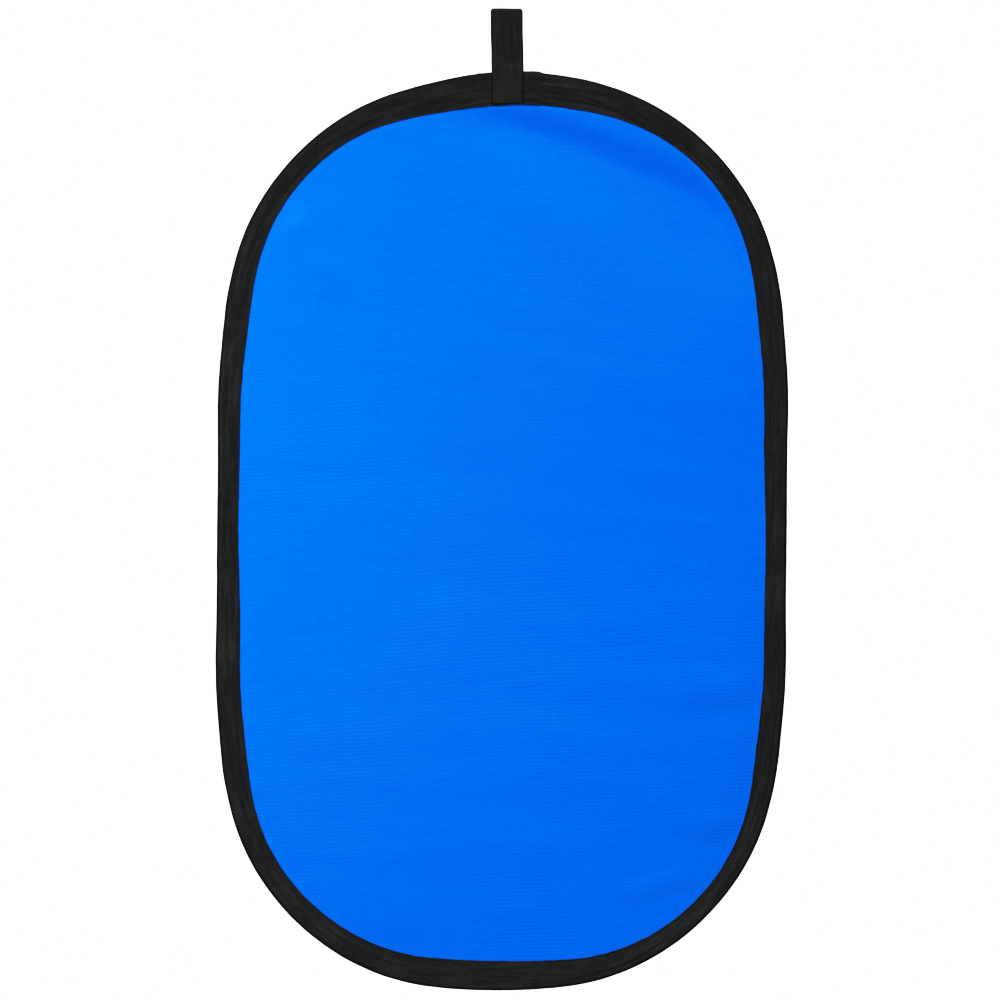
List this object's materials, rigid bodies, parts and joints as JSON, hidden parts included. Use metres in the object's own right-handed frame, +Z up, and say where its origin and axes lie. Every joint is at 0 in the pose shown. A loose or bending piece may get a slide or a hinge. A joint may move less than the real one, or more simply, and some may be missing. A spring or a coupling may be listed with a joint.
{
  "type": "collapsible backdrop panel",
  "caption": "Upright oblong pop-up backdrop: cloth stretched over a sprung steel hoop in a sewn black casing, blue in front and green behind, with a webbing loop to hang it by.",
  "frame": {"origin": "crest inside the hanging loop, where a hook bears", "axes": "+X to the right as seen from the front, +Z up, the front cloth faces -Y"},
  "size_m": [1.02, 0.0158, 1.7578],
  "materials": {
    "spring_steel": "cold-rolled spring steel, blank",
    "plated_steel": "zinc plated",
    "splice_tape": "self-adhesive tape",
    "casing_tape": "woven nylon tape, slight sheen",
    "front_cloth": "stretched matt polyester, blue",
    "back_cloth": "stretched matt polyester, green",
    "thread": "bonded nylon thread",
    "webbing": "woven nylon webbing"
  },
  "bodies": {
    "hang_loop": {"hang_loop": "webbing"},
    "panel_upper": {"hoop_upper": "spring_steel", "splice_sleeve": "plated_steel", "splice_rivets": "plated_steel", "splice_tape": "splice_tape", "binding_upper": "casing_tape", "front_fabric_upper": "front_cloth", "back_fabric_upper": "back_cloth", "front_stitching_upper": "thread", "back_stitching_upper": "thread", "loop_anchor": "webbing", "loop_stitching": "thread"},
    "panel_lower": {"hoop_lower": "spring_steel", "binding_lower": "casing_tape", "front_fabric_lower": "front_cloth", "back_fabric_lower": "back_cloth", "front_stitching_lower": "thread", "back_stitching_lower": "thread"}
  },
  "joints": [
    {"name": "panel_swing", "type": "hinge", "parent": "hang_loop", "child": "panel_upper", "pos_m": [0, 0, -0.1116], "axis": [1, 0, 0], "range_deg": [-90, 90]},
    {"name": "panel_fold", "type": "hinge", "parent": "panel_upper", "child": "panel_lower", "pos_m": [0, -0.0068, -0.9341], "axis": [-1, 0, 0], "range_deg": [0, 165], "stiffness_Nm_per_rad": 1, "springref_deg": -17.19}
  ]
}
